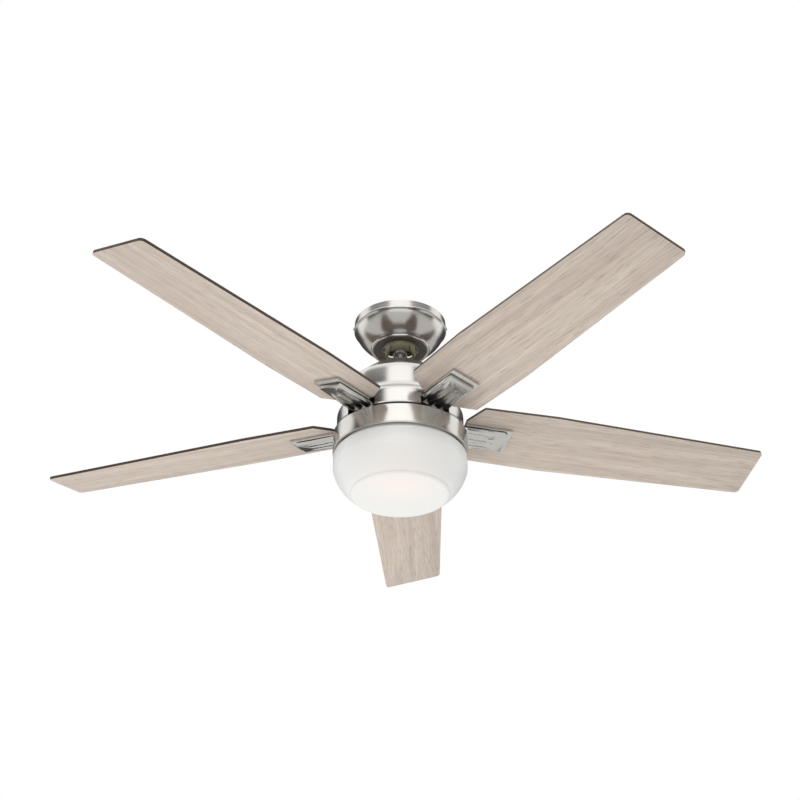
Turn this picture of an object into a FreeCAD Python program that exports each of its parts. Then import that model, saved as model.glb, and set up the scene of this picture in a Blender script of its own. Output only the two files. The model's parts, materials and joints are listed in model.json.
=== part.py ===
import FreeCAD, Part
import math
import os
import Sketcher

# A ceiling fan with five blades and a bowl light.
# The row frame: millimetres, +Z up, origin on the fan's axis in the plane of the ceiling.
# Parts near the motor are drawn in the hub frame, whose origin is on the axis in the plane
# of the blades' undersides, and parts that turn with the motor have blade 1 along +X there.

DIMENSIONS = [
    ("blade_drop", 213, "ceiling to the plane of the blades' undersides"),
    ("sheet_wall", 1.5, "thickness of the spun steel shells"),
    # canopy and hanger
    ("canopy_rim", 85, "radius of the canopy at the ceiling"),
    ("canopy_band", 16, "height of the canopy's straight rim"),
    ("canopy_depth", 53, "ceiling to the canopy's lower edge"),
    ("canopy_mouth", 54, "radius of the canopy's lower edge"),
    ("trim_hole", 34.4, "radius of the hole in the canopy trim ring"),
    ("shroud_hole", 21.5, "radius of the hole that the rod hangs through"),
    ("bracket_long", 116, "length of the hanger bracket along X"),
    ("bracket_wide", 44, "width of the hanger bracket"),
    ("bracket_plate", 2.5, "thickness of the hanger bracket"),
    ("bracket_slots", 88.9, "spacing of the bracket's slots, an outlet box's screws"),
    ("slot_wide", 5, "width of a bracket slot"),
    ("slot_long", 12, "length of a bracket slot"),
    ("ball_radius", 25, "radius of the hanger ball"),
    ("ball_drop", 36, "ceiling to the centre of the hanger ball"),
    ("rod_radius", 12.7, "outer radius of the downrod"),
    ("rod_bore", 10.4, "inner radius of the downrod"),
    ("rod_top", 19, "ceiling to the top of the downrod"),
    ("rod_end", 136, "ceiling to the lower end of the downrod"),
    # blades and blade irons
    ("blade_phase", 87.64, "direction of blade 1, in degrees from +X"),
    ("blade_pitch", 13, "pitch of a blade, in degrees"),
    ("blade_thick", 5, "thickness of a blade"),
    ("blade_root", 115.5, "axis to a blade's root"),
    ("blade_tip", 685, "axis to a blade's tip, on its centre line"),
    ("root_half", 33, "half the width of a blade at its root"),
    ("shoulder_half", 69, "half the width of a blade at its shoulder"),
    ("belly_half", 72, "half the width of a blade where it is widest"),
    ("tip_half", 58.5, "half the width of a blade at its tip"),
    ("plate_half", 27.5, "half the width of a blade plate"),
    ("plate_thick", 5.5, "thickness of a blade plate"),
    ("plate_root", 117, "axis to the inner end of a blade plate"),
    ("plate_end", 203, "axis to the outer end of a blade plate"),
    ("iron_end", 193, "axis to the outer end of a blade iron"),
    ("iron_thick", 5, "thickness of a blade iron at its outer end"),
    ("iron_gap", 1.6, "groove between a blade plate and its iron"),
    ("iron_floor", -13, "height of a blade iron's underside at the hub, on its centre line"),
    ("iron_roof", -8.3, "height of a blade iron's top at the hub, on its centre line"),
    ("iron_tilt", 10, "pitch of a blade iron at the hub, in degrees"),
    # bell housing and motor
    ("bell_skirt", 113, "radius of the bell housing's skirt"),
    ("bell_foot", -18, "height of the bell housing's lower edge"),
    ("bell_top", 104.5, "height of the bead round the bell housing's top"),
    ("bell_deck", 100.5, "height of the flat inside that bead"),
    ("bell_eaves", 67.5, "height at which the bell housing's cone meets its wall"),
    ("slot_roof", -3, "height of the top of the bell housing's slots"),
    ("bell_brow", 98.6, "radius of the bell housing where its cone meets its wall"),
    ("bell_waist", 100, "radius of the foot of the bell housing's wall"),
    ("bell_hip", 30, "height of the foot of the bell housing's wall"),
    ("cover_radius", 55.5, "radius of the coupling cover"),
    ("cover_top", 110.5, "height of the coupling cover's top"),
    ("rotor_radius", 86, "outer radius of the motor's rotor shells"),
    ("rotor_top", 50, "height of the rotor's top"),
    ("rotor_foot", -2, "height of the rotor's underside"),
    ("stator_radius", 70, "outer radius of the stator"),
    ("shaft_radius", 8.5, "outer radius of the hollow motor shaft"),
    ("shaft_bore", 5, "inner radius of the hollow motor shaft"),
    # light kit
    ("band_radius", 119.5, "outer radius of the fitter band"),
    ("band_top", -24.6, "height of the fitter band's top"),
    ("band_foot", -61.5, "height of the fitter band's lower edge"),
    ("glass_radius", 118.5, "outer radius of the glass shade"),
    ("glass_neck", 108, "outer radius of the glass shade's neck"),
    ("glass_wall", 3.5, "thickness of the glass shade"),
    ("glass_waist", -98, "height at which the glass shade starts to taper"),
    ("glass_base", -142.5, "height of the glass shade's underside"),
    ("glass_disc", 84.5, "radius of the glass shade's flat underside"),
]

BLADES = 5
FULL_TURN = 360
RUNNING = 0.05     # radial clearance of a shaft or pin that turns in its hole

doc = FreeCAD.newDocument("CeilingFan")
sheet = doc.addObject("Spreadsheet::Sheet", "Dims")
parts = []


class Size:
    """A number that also knows the spreadsheet expression that it comes from."""

    def __init__(self, value, text):
        self.value = value
        self.text = text

    def __float__(self):
        return float(self.value)

    def __add__(self, other):
        return Size(float(self) + float(other), f"({self.text} + {written(other)})")

    def __radd__(self, other):
        return self + other

    def __sub__(self, other):
        return Size(float(self) - float(other), f"({self.text} - {written(other)})")

    def __rsub__(self, other):
        return Size(float(other) - float(self), f"({written(other)} - {self.text})")

    def __mul__(self, other):
        return Size(float(self) * float(other), f"({self.text} * {written(other)})")

    def __rmul__(self, other):
        return self * other

    def __truediv__(self, other):
        return Size(float(self) / float(other), f"({self.text} / {written(other)})")

    def __neg__(self):
        return Size(-float(self), f"(0 - {self.text})")


def written(value):
    return value.text if isinstance(value, Size) else repr(float(value))


class Dimensions:
    """The spreadsheet's cells by name: dims.blade_tip is a Size."""

    def __init__(self, rows):
        for row, (alias, value, meaning) in enumerate(rows, start=1):
            sheet.set(f"A{row}", alias)
            sheet.set(f"B{row}", str(value))
            sheet.setAlias(f"B{row}", alias)
            sheet.set(f"C{row}", meaning)
            setattr(self, alias, Size(value, f"Dims.{alias}"))


dims = Dimensions(DIMENSIONS)
doc.recompute()


def bind(thing, **sizes):
    """Sets an object's properties, and ties those that are Sizes to the spreadsheet."""
    for name, size in sizes.items():
        setattr(thing, name, float(size))
        if isinstance(size, Size):
            thing.setExpression(name, size.text)
    return thing


def place(thing, height=0, turn=0, x=0, y=0, rotation=None):
    """Lifts an object to a height, after a turn about Z (or after the rotation given)."""
    spin = rotation or FreeCAD.Rotation(FreeCAD.Vector(0, 0, 1), float(turn))
    thing.Placement = FreeCAD.Placement(FreeCAD.Vector(float(x), float(y), float(height)), spin)
    if isinstance(height, Size):
        thing.setExpression("Placement.Base.z", height.text)
    return thing


def keep(thing, label):
    """Names an object and puts it on the list of sub-parts that are written out."""
    thing.Label = label
    parts.append(thing)
    return thing


# ---- sketches ---------------------------------------------------------------------------


def new_body(label):
    return keep(doc.addObject("PartDesign::Body", label), label)


def origin_feature(body, role):
    return next(item for item in body.Origin.OriginFeatures if item.Role == role)


def new_sketch(body, role, offset=0, turn=0):
    """A sketch on one of the body's own planes, moved along its normal and turned about it."""
    sketch = body.newObject("Sketcher::SketchObject", "Sketch")
    sketch.AttachmentSupport = (origin_feature(body, role), "")
    sketch.MapMode = "FlatFace"
    spin = FreeCAD.Rotation(FreeCAD.Vector(0, 0, 1), float(turn))
    sketch.AttachmentOffset = FreeCAD.Placement(FreeCAD.Vector(0, 0, float(offset)), spin)
    if isinstance(offset, Size):
        sketch.setExpression("AttachmentOffset.Base.z", offset.text)
    return sketch


def hold(sketch, kind, size, *where):
    """Adds a dimension to a sketch."""
    index = sketch.addConstraint(Sketcher.Constraint(kind, *where, float(size)))
    if isinstance(size, Size):
        sketch.setExpression(f"Constraints[{index}]", size.text)


def pin_point(sketch, edge, end, x, y):
    """Dimensions one end of an edge from the sketch's origin."""
    for size, kind, axis in ((x, "DistanceX", -2), (y, "DistanceY", -1)):
        if float(size) == 0:
            sketch.addConstraint(Sketcher.Constraint("PointOnObject", edge, end, axis))
        else:
            hold(sketch, kind, size, -1, 1, edge, end)


def arc_between(start, end, radius, turn):
    """The shorter arc from start to end: turn is 1 for anticlockwise, -1 for clockwise."""
    chord = end - start
    middle = (start + end) * 0.5
    side = FreeCAD.Vector(-chord.y, chord.x, 0).normalize()
    centre = middle + side * turn * math.sqrt(max(radius ** 2 - (chord.Length / 2) ** 2, 0))
    first, last = (start, end) if turn > 0 else (end, start)
    angles = [math.atan2(point.y - centre.y, point.x - centre.x) for point in (first, last)]
    circle = Part.Circle(centre, FreeCAD.Vector(0, 0, 1), radius)
    return Part.ArcOfCircle(circle, angles[0], angles[1])


def draw(sketch, steps):
    """Draws a closed outline. A step (x, y) is a straight edge to that corner, and a step
    (x, y, radius, turn) is an arc to it."""
    edges = []
    for index, step in enumerate(steps):
        before = steps[index - 1]
        start = FreeCAD.Vector(float(before[0]), float(before[1]), 0)
        end = FreeCAD.Vector(float(step[0]), float(step[1]), 0)
        if len(step) == 2:
            edge = sketch.addGeometry(Part.LineSegment(start, end), False)
            edges.append((edge, 1, 2))
        else:
            edge = sketch.addGeometry(arc_between(start, end, float(step[2]), step[3]), False)
            edges.append((edge, 1, 2) if step[3] > 0 else (edge, 2, 1))
            hold(sketch, "Radius", step[2], edge)
    for index, step in enumerate(steps):
        edge, _, end = edges[index]
        after, start, _ = edges[(index + 1) % len(steps)]
        sketch.addConstraint(Sketcher.Constraint("Coincident", edge, end, after, start))
        pin_point(sketch, edge, end, step[0], step[1])
    return sketch


def box_steps(low_x, low_y, high_x, high_y):
    return [(low_x, low_y), (high_x, low_y), (high_x, high_y), (low_x, high_y)]


def revolve(body, steps):
    """Turns an outline, given as (radius, height) steps, about the body's own Z axis."""
    feature = body.newObject("PartDesign::Revolution", "Turned")
    feature.Profile = draw(new_sketch(body, "XZ_Plane"), steps)
    feature.ReferenceAxis = (feature.Profile[0], ["V_Axis"])
    feature.Angle = FULL_TURN
    doc.recompute()
    return feature


def turned(label, steps):
    body = new_body(label)
    revolve(body, steps)
    return body


def pad(body, steps, length, role="XY_Plane", offset=0):
    """Draws an outline on one of the body's planes and gives it a thickness."""
    feature = body.newObject("PartDesign::Pad", "Pad")
    feature.Profile = draw(new_sketch(body, role, offset), steps)
    bind(feature, Length=length)
    doc.recompute()
    return feature


def pocket(body, steps, length, role="XY_Plane", offset=0, reverse=False):
    """Cuts an outline out of the body, and makes sure that it did cut."""
    before = body.Shape.Volume
    feature = body.newObject("PartDesign::Pocket", "Pocket")
    feature.Profile = draw(new_sketch(body, role, offset), steps)
    feature.Reversed = reverse
    bind(feature, Length=length)
    doc.recompute()
    if body.Shape.Volume >= before - 1:
        raise ValueError(f"{body.Label}: a pocket cut nothing")
    return feature


def drill(body, centres, radius, length, role="XY_Plane", offset=0, reverse=False):
    """Drills round holes at the centres given, and makes sure that they did cut."""
    before = body.Shape.Volume
    sketch = new_sketch(body, role, offset)
    for x, y in centres:
        middle = FreeCAD.Vector(float(x), float(y), 0)
        circle = Part.Circle(middle, FreeCAD.Vector(0, 0, 1), float(radius))
        edge = sketch.addGeometry(circle, False)
        hold(sketch, "Radius", radius, edge)
        pin_point(sketch, edge, 3, x, y)
    feature = body.newObject("PartDesign::Pocket", "Holes")
    feature.Profile = sketch
    feature.Reversed = reverse
    bind(feature, Length=length)
    doc.recompute()
    if body.Shape.Volume >= before - 1:
        raise ValueError(f"{body.Label}: the holes cut nothing")
    return feature


def repeat_round(body, feature, count):
    """Repeats a feature round the body's Z axis."""
    pattern = body.newObject("PartDesign::PolarPattern", "RoundPattern")
    pattern.Originals = [feature]
    pattern.Axis = (origin_feature(body, "Z_Axis"), [""])
    pattern.Angle = FULL_TURN
    pattern.Occurrences = count
    body.Tip = pattern
    doc.recompute()
    return pattern


# ---- primitives -------------------------------------------------------------------------


def cylinder(radius, height, x=0, y=0, z=0, axis=None):
    """A cylinder from the point given, along the axis given or else up."""
    solid = bind(doc.addObject("Part::Cylinder", "Cylinder"), Radius=radius, Height=height)
    spin = FreeCAD.Rotation(FreeCAD.Vector(0, 0, 1), axis or FreeCAD.Vector(0, 0, 1))
    return place(solid, z, x=x, y=y, rotation=spin)


def cone(low_radius, high_radius, start, end):
    """A cone from one point to another."""
    along = end - start
    solid = doc.addObject("Part::Cone", "Cone")
    bind(solid, Radius1=low_radius, Radius2=high_radius, Height=along.Length)
    return place(solid, start.z, x=start.x, y=start.y,
                 rotation=FreeCAD.Rotation(FreeCAD.Vector(0, 0, 1), along))


def block(length, width, height, z=0, x=0, y=0):
    """A box centred on (x, y), standing on height z."""
    solid = bind(doc.addObject("Part::Box", "Box"), Length=length, Width=width, Height=height)
    return place(solid, z, x=float(x) - float(length) / 2, y=float(y) - float(width) / 2)


def join(*solids):
    fused = doc.addObject("Part::MultiFuse", "Joined")
    fused.Shapes = list(solids)
    fused.Refine = True
    return fused


def cut(base, *tools):
    result = doc.addObject("Part::Cut", "Cut")
    result.Base = base
    result.Tool = tools[0] if len(tools) == 1 else join(*tools)
    return result


def group(*solids):
    """Keeps separate solids together in one sub-part."""
    compound = doc.addObject("Part::Compound", "Group")
    compound.Links = list(solids)
    return compound


def tube(outer, inner, height, z=0, x=0, y=0):
    bore = cylinder(inner, height + 2, x, y, z - 1)
    return cut(cylinder(outer, height, x, y, z), bore)


def polar(radius, degrees):
    angle = math.radians(degrees)
    return float(radius) * math.cos(angle), float(radius) * math.sin(angle)


def screw(x, y, seat, shank, head_radius, head_height, length, direction=-1):
    """A pan-head screw whose head stands on height seat: direction -1 drives it downwards."""
    up = FreeCAD.Vector(0, 0, -direction)
    head = cylinder(head_radius, head_height, x, y, seat, up)
    body = cylinder(shank, length, x, y, seat, -up)
    slot_depth = head_height * 0.4
    low = seat + head_height - slot_depth if direction < 0 else seat - head_height
    slot = block(head_radius * 3, head_radius * 0.3, slot_depth, low, x, y)
    return cut(join(head, body), slot)


# ---- canopy and hanger ------------------------------------------------------------------


CANOPY_SCREW = 1.9       # radius of the canopy's screws
CANOPY_SCREW_DROP = 8    # ceiling to the canopy's screws


def canopy():
    wall = dims.sheet_wall
    depth = -dims.canopy_depth
    step = -dims.canopy_band
    body = turned("canopy", [
        (dims.canopy_rim, 0),
        (dims.canopy_rim, step),
        (dims.canopy_rim - 3.3, step - 3.5),
        (dims.canopy_mouth, depth, 200, -1),
        (dims.canopy_mouth - 12, depth),
        (dims.canopy_mouth - 12, depth + wall),
        (dims.canopy_mouth - 0.8, depth + wall),
        (dims.canopy_rim - 5, step - 3.5, 200, 1),
        (dims.canopy_rim - wall, step - 0.5),
        (dims.canopy_rim - wall, 0),
    ])
    drill(body, [(0, -CANOPY_SCREW_DROP)], CANOPY_SCREW, 2 * dims.canopy_rim + 4,
          role="YZ_Plane", offset=dims.canopy_rim + 2)
    return body


def canopy_trim_ring():
    """The bead round the canopy's mouth, with the flat ring that closes it."""
    top = -dims.canopy_depth
    return turned("canopy_trim_ring", [
        (dims.trim_hole, top),
        (dims.canopy_mouth - 0.6, top),
        (dims.canopy_mouth - 1.6, top - 5, 2.7, -1),
        (dims.canopy_mouth - 4, top - 4),
        (dims.trim_hole, top - 3),
    ])


def ball_shroud():
    """The stamped dish round the ball's seat, with a slot on each side of the rod."""
    rim = dims.trim_hole - 0.5
    top = -(dims.canopy_depth + 1)
    wall = 1.2
    low = top - 13
    body = new_body("ball_shroud")
    revolve(body, [
        (rim, top),
        (rim, top - 2.4),
        (dims.shroud_hole + 1.5, low, 22, -1),
        (dims.shroud_hole, low),
        (dims.shroud_hole, low + wall),
        (dims.shroud_hole + 1, low + wall),
        (rim - wall, top - 2, 21, 1),
        (rim - wall, top),
    ])
    slot = pocket(body, [(24.5, -13), (24.5, 13, 40, 1), (26.5, 13), (31, 0, 17, -1),
                         (26.5, -13, 17, -1)], 40, offset=-80, reverse=True)
    repeat_round(body, slot, 2)
    return body


def hanger_bracket():
    """A strap on the ceiling with two slots, a tab at each end for the canopy's screws, two
    legs, and the ring that the ball rests in."""
    thick = dims.bracket_plate
    leg_x = 34
    leg_wide = 30
    ring_top = -49
    arm_wide = 24
    arm_end = dims.canopy_rim - dims.sheet_wall - 2
    strap = block(dims.bracket_long, dims.bracket_wide, thick, -thick)
    arms = block(arm_end * 2, arm_wide, thick, -thick)
    tabs = [block(thick, arm_wide, 14, -14, x=side * (arm_end - thick / 2)) for side in (-1, 1)]
    legs = [block(thick, leg_wide, -ring_top, ring_top, x=side * leg_x) for side in (-1, 1)]
    shelf = block(2 * leg_x + thick, leg_wide, 3, ring_top - 1)
    ring = cylinder(29, 6, z=ring_top - 4)
    seat = doc.addObject("Part::Sphere", "Seat")
    bind(seat, Radius=dims.ball_radius + 0.3)
    place(seat, -dims.ball_drop)
    well = cylinder(20, 20, z=ring_top - 12)
    wire_hole = cylinder(11, 10, z=-8)
    slots = []
    for side in (-1, 1):
        centre = side * float(dims.bracket_slots) / 2
        straight = (dims.slot_long - dims.slot_wide)
        slots.append(block(straight, dims.slot_wide, 10, -8, x=centre))
        for end in (-0.5, 0.5):
            slots.append(cylinder(dims.slot_wide / 2, 10, centre + end * float(straight), 0, -8))
    bracket = join(strap, arms, *tabs, *legs, shelf, ring)
    bracket = cut(bracket, seat, well, wire_hole, tab_holes(arm_end), *slots)
    return keep(bracket, "hanger_bracket")


def tab_holes(arm_end):
    """The holes for the canopy's screws in both tabs, kept clear of the bracket's legs."""
    holes = []
    for side in (-1, 1):
        along = FreeCAD.Vector(side, 0, 0)
        start = side * (float(arm_end) - 6)
        holes.append(cylinder(CANOPY_SCREW, 12, start, 0, -CANOPY_SCREW_DROP, along))
    return join(*holes)


def hanger_ball():
    """The ball on top of the downrod, flat above and below, bored for the rod and its pin."""
    ball = doc.addObject("Part::Sphere", "Ball")
    bind(ball, Radius=dims.ball_radius)
    place(ball, -dims.ball_drop)
    slab = block(60, 60, 36, -dims.ball_drop - 18)
    waist = doc.addObject("Part::Common", "Waist")
    waist.Base = ball
    waist.Tool = slab
    bore = cylinder(dims.rod_radius, 60, z=-dims.ball_drop - 30)
    grub_hole = cylinder(2.05, 20, dims.rod_radius - 3, 0, -dims.ball_drop + 9,
                         FreeCAD.Vector(1, 0, 0))
    return keep(cut(waist, bore, pin_hole(4, 60), grub_hole), "hanger_ball")


def pin_hole(radius, length):
    """A cylinder along Y through the centre of the hanger ball."""
    return cylinder(radius, length, 0, -length / 2, -dims.ball_drop, FreeCAD.Vector(0, 1, 0))


def ball_cross_pin():
    return keep(pin_hole(4 - RUNNING, 38), "ball_cross_pin")


def downrod():
    length = dims.rod_end - dims.rod_top
    rod = tube(dims.rod_radius, dims.rod_bore, length, -dims.rod_end)
    lower = cylinder(3.1, 60, 0, -30, -dims.rod_end + 10, FreeCAD.Vector(0, 1, 0))
    return keep(cut(rod, pin_hole(4, 60), lower), "downrod")


def ball_set_screw():
    """The grub screw that keeps the rod from turning in the ball."""
    start = dims.rod_radius + 0.2
    along = FreeCAD.Vector(1, 0, 0)
    grub = cylinder(2, 9, start, 0, -dims.ball_drop + 9, along)
    socket = cylinder(0.9, 3, start + 7, 0, -dims.ball_drop + 9, along)
    return keep(cut(grub, socket), "ball_set_screw")


def canopy_screws():
    """Two screws through the rim of the canopy into the bracket's ends."""
    screws = []
    for side in (-1, 1):
        out = FreeCAD.Vector(side, 0, 0)
        start = side * float(dims.canopy_rim)
        head = cylinder(3.5, 1.8, start, 0, -CANOPY_SCREW_DROP, out)
        shank = cylinder(CANOPY_SCREW, 14, start, 0, -CANOPY_SCREW_DROP, out * -1)
        screws.append(join(head, shank))
    return keep(group(*screws), "canopy_screws")


def remote_receiver():
    """The remote control's receiver box, which hangs beside the bracket's strap."""
    low = -21
    case = block(72, 32, -low, low, y=-dims.bracket_wide / 2 - 16)
    lid = block(60, 24, 1.5, low - 1.5, y=-dims.bracket_wide / 2 - 16)
    return keep(join(case, lid), "remote_receiver")


def wire_connectors():
    """Twist-on connectors on the supply wires, beside the bracket."""
    caps = []
    for index in range(3):
        x = (index - 1) * 16
        start = FreeCAD.Vector(x, 56, -30)
        caps.append(cone(6, 3.5, start, start + FreeCAD.Vector(0, 0, 18)))
    return keep(group(*caps), "wire_connectors")


# ---- coupling and motor, in the hub frame -----------------------------------------------


def at_hub(thing, turn=0):
    return place(thing, -dims.blade_drop, turn)


def motor_coupling():
    """The cast socket that joins the downrod to the motor shaft."""
    rod_end = dims.blade_drop - dims.rod_end
    body = turned("motor_coupling", [
        (dims.rod_radius, rod_end + 28),
        (dims.rod_radius, rod_end),
        (dims.shaft_radius, rod_end),
        (dims.shaft_radius, rod_end - 13),
        (34, rod_end - 13),
        (34, rod_end - 8),
        (19, rod_end - 4, 12, 1),
        (18, rod_end + 28),
    ])
    at_hub(body)
    pin = cylinder(3.1, 60, 0, -30, -dims.rod_end + 10, FreeCAD.Vector(0, 1, 0))
    grub = cylinder(2.55, 40, -20, 0, -dims.rod_end + 20, FreeCAD.Vector(1, 0, 0))
    parts.remove(body)
    body.Label = "coupling_blank"
    return keep(cut(body, pin, grub), "motor_coupling")


COTTER_PLACE = 22.5   # axis to the cotter pin


def clevis_pin():
    """The headed pin through the coupling and the rod's lower end."""
    along = FreeCAD.Vector(0, 1, 0)
    z = -dims.rod_end + 10
    shank = cylinder(3, 47.5, 0, -22, z, along)
    head = cylinder(5, 2.5, 0, -22 - 2.5, z, along)
    hole = cylinder(1.1, 12, 0, COTTER_PLACE, z - 6)
    return keep(cut(join(shank, head), hole), "clevis_pin")


def cotter_pin():
    """The split pin that locks the clevis pin: a straight leg with an eye."""
    z = -dims.rod_end + 10
    leg = cylinder(0.9, 15.6, 0, COTTER_PLACE, z - 8)
    eye = doc.addObject("Part::Torus", "Eye")
    bind(eye, Radius1=2.4, Radius2=1.1)
    place(eye, z + 10, y=COTTER_PLACE, rotation=FreeCAD.Rotation(FreeCAD.Vector(0, 1, 0), 90))
    return keep(join(leg, eye), "cotter_pin")


def coupling_set_screws():
    screws = []
    for side in (-1, 1):
        along = FreeCAD.Vector(side, 0, 0)
        start = side * (float(dims.rod_radius) + 0.1)
        screws.append(cylinder(2.5, 9, start, 0, -dims.rod_end + 20, along))
    return keep(group(*screws), "coupling_set_screws")


def coupling_cover():
    """The cap over the coupling. It stands in the bead round the bell housing's top."""
    wall = dims.sheet_wall
    out = dims.cover_radius
    top = dims.cover_top
    foot = dims.bell_deck + 1.5
    body = turned("coupling_cover", [
        (dims.rod_radius + 1.2, top),
        (out - 4, top - 0.5),
        (out, top - 4.5, 4.1, -1),
        (out, foot),
        (out - wall, foot),
        (out - wall, top - 5),
        (out - 4.5, top - 0.7 - wall, 3.1, 1),
        (dims.rod_radius + 1.2, top - wall),
    ])
    return at_hub(body)


def bell_housing():
    """The spun housing that turns with the blades: a cone, a wall and a skirt with slots."""
    wall = dims.sheet_wall
    skirt = dims.bell_skirt
    foot = dims.bell_foot
    top = dims.bell_top
    brow = dims.bell_brow
    eaves = dims.bell_eaves
    waist = dims.bell_waist
    hip = dims.bell_hip
    slant = math.sqrt(0.5)
    cove = 8       # radius of the hollow curve below the wall
    bulge = 12     # radius of the round shoulder above the skirt
    fall = (skirt - bulge - waist - cove) + bulge * slant + cove * slant
    shoulder = hip - cove * slant - fall - bulge * slant
    body = new_body("bell_housing")
    revolve(body, [
        (36, dims.bell_deck),
        (57, dims.bell_deck),
        (58.3, top - 0.6),
        (59.6, top),
        (61.4, top - 1.2),
        (brow - 2.6, eaves + 5.5),
        (brow, eaves, 7.5, -1),
        (waist, hip),
        (waist + cove - cove * slant, hip - cove * slant, cove, 1),
        (skirt - bulge + bulge * slant, shoulder + bulge * slant),
        (skirt, shoulder, bulge, -1),
        (skirt, foot + 3),
        (skirt + 0.9, foot),
        (skirt - 0.6, foot),
        (skirt - wall, foot + 3),
        (skirt - wall, shoulder),
        (skirt - bulge + (bulge - wall) * slant, shoulder + (bulge - wall) * slant,
         bulge - wall, 1),
        (waist + cove - (cove + wall) * slant, hip - (cove + wall) * slant),
        (waist - wall, hip, cove + wall, -1),
        (brow - wall, eaves),
        (brow - 2.6 - wall * 0.66, eaves + 5.5 - wall * 0.75, 6, 1),
        (61.4 - wall * 0.66, top - 1.2 - wall * 0.75),
        (59, dims.bell_deck - wall),
        (36, dims.bell_deck - wall),
    ])
    half = dims.plate_half + 2.5
    roof = dims.slot_roof
    slot = pocket(body, [
        (-half, foot - 5),
        (half, foot - 5),
        (half, roof - 4),
        (half - 4, roof, 4, 1),
        (-half + 4, roof),
        (-half, roof - 4, 4, 1),
    ], skirt + 10, role="YZ_Plane", reverse=True)
    repeat_round(body, slot, BLADES)
    drill(body, bell_screw_places(), 2, 10, offset=dims.bell_deck + 2)
    return at_hub(body, dims.blade_phase)


def bell_screw_places():
    return [polar(46, 45 + index * 90) for index in range(4)]


def motor_shaft():
    """The hollow shaft that stands still: the motor turns round it and the light hangs on it."""
    top = dims.blade_drop - dims.rod_end
    foot = dims.band_top - 19
    return at_hub(keep(tube(dims.shaft_radius, dims.shaft_bore, top - foot, foot), "motor_shaft"))


def stator_core():
    """The laminated stator, with a slot beside every tooth for its winding."""
    height = 24
    low = 12
    body = new_body("stator_core")
    revolve(body, box_steps(dims.shaft_radius, low, dims.stator_radius, low + height))
    slot = pocket(body, [(34, -3.4), (66, -6), (66, 6), (34, 3.4)], height + 4, offset=low - 2,
                  reverse=True)
    repeat_round(body, slot, 12)
    return at_hub(body)


def stator_windings():
    """Twelve coils, one in each slot, standing a little proud of the laminations."""
    coils = []
    for index in range(12):
        angle = index * FULL_TURN / 12
        coil = bind(doc.addObject("Part::Wedge", "Coil"), Xmin=34.5, Xmax=65.5, X2min=34.5,
                    X2max=65.5, Ymin=-3, Ymax=3, Zmin=8, Zmax=40, Z2min=8, Z2max=40)
        place(coil, 0, angle)
        coils.append(coil)
    return at_hub(keep(group(*coils), "stator_windings"))


BEARINGS = {"upper": 42, "lower": 1}     # heights of the undersides of the two bearings
RACE_HEIGHT = 7
BALL_PATH = 12.6
BALL = 1.9


def bearing_rings():
    """Two ball bearings: inner races on the shaft, outer races in the rotor shells."""
    balls = []
    groove = BALL + RUNNING
    for name, low in BEARINGS.items():
        middle = low + RACE_HEIGHT / 2
        track = doc.addObject("Part::Torus", "Track")
        bind(track, Radius1=BALL_PATH, Radius2=groove)
        place(track, middle)
        inner = tube(BALL_PATH - 1, dims.shaft_radius, RACE_HEIGHT, low)
        at_hub(keep(cut(inner, track), f"{name}_bearing_inner_race"))
        outer = tube(16.5, BALL_PATH + 1, RACE_HEIGHT, low)
        at_hub(keep(cut(outer, track), f"{name}_bearing_outer_race"))
        for index in range(9):
            ball = bind(doc.addObject("Part::Sphere", "BearingBall"), Radius=BALL)
            x, y = polar(BALL_PATH, index * 40)
            balls.append(place(ball, middle, x=x, y=y))
    return at_hub(keep(group(*balls), "bearing_balls"))


def rotor_shells():
    """The two aluminium shells of the outrunner motor, which meet at the height of seam."""
    out = dims.rotor_radius
    top = dims.rotor_top
    foot = dims.rotor_foot
    seam = 24
    bearing = 16.5
    upper = turned("rotor_upper_shell", [
        (bearing, top),
        (out - 6, top),
        (out, top - 8, 12, -1),
        (out, seam),
        (out - 4, seam),
        (out - 4, top - 9),
        (out - 12, top - 5),
        (bearing + 4, top - 5),
        (bearing + 4, BEARINGS["upper"]),
        (bearing, BEARINGS["upper"]),
    ])
    lower = turned("rotor_lower_shell", [
        (bearing, foot + 10),
        (bearing, foot + 3),
        (12, foot + 3),
        (12, foot),
        (out - 6, foot),
        (out, foot + 8, 12, 1),
        (out, seam),
        (out - 4, seam),
        (out - 4, foot + 9),
        (out - 12, foot + 5),
        (bearing + 4, foot + 5),
        (bearing + 4, foot + 10),
    ])
    centres = [polar(radius, turn * FULL_TURN / BLADES)
               for turn in range(BLADES) for radius in IRON_SCREWS]
    drill(lower, centres, SCREW_SHANK, 12, offset=foot - 1, reverse=True)
    return [at_hub(shell, dims.blade_phase) for shell in (upper, lower)]


def rotor_magnets():
    """Twelve curved magnets inside the rotor, round the stator."""
    segments = []
    for index in range(12):
        ring = tube(dims.rotor_radius - 4, dims.stator_radius + 1.5, 20, 13)
        wedge = bind(doc.addObject("Part::Wedge", "Sector"), Xmin=0, Xmax=95, X2min=0, X2max=95,
                     Ymin=-19, Ymax=19, Zmin=10, Zmax=36, Z2min=10, Z2max=36)
        place(wedge, 0, index * FULL_TURN / 12)
        segment = doc.addObject("Part::Common", "Magnet")
        segment.Base = ring
        segment.Tool = wedge
        segments.append(segment)
    return at_hub(keep(group(*segments), "rotor_magnets"), dims.blade_phase)


def shaft_lock_nut():
    """The hexagonal nut that holds the light kit on the shaft's lower end."""
    z = dims.band_top - dims.sheet_wall - 16
    nut = doc.addObject("Part::Prism", "Nut")
    nut.Polygon = 6
    bind(nut, Circumradius=15, Height=6)
    place(nut, z)
    bore = cylinder(dims.shaft_radius, 10, z=z - 2)
    return at_hub(keep(cut(nut, bore), "shaft_lock_nut"))


# ---- blades and irons, in the hub frame with the blade along +X -------------------------


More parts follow.
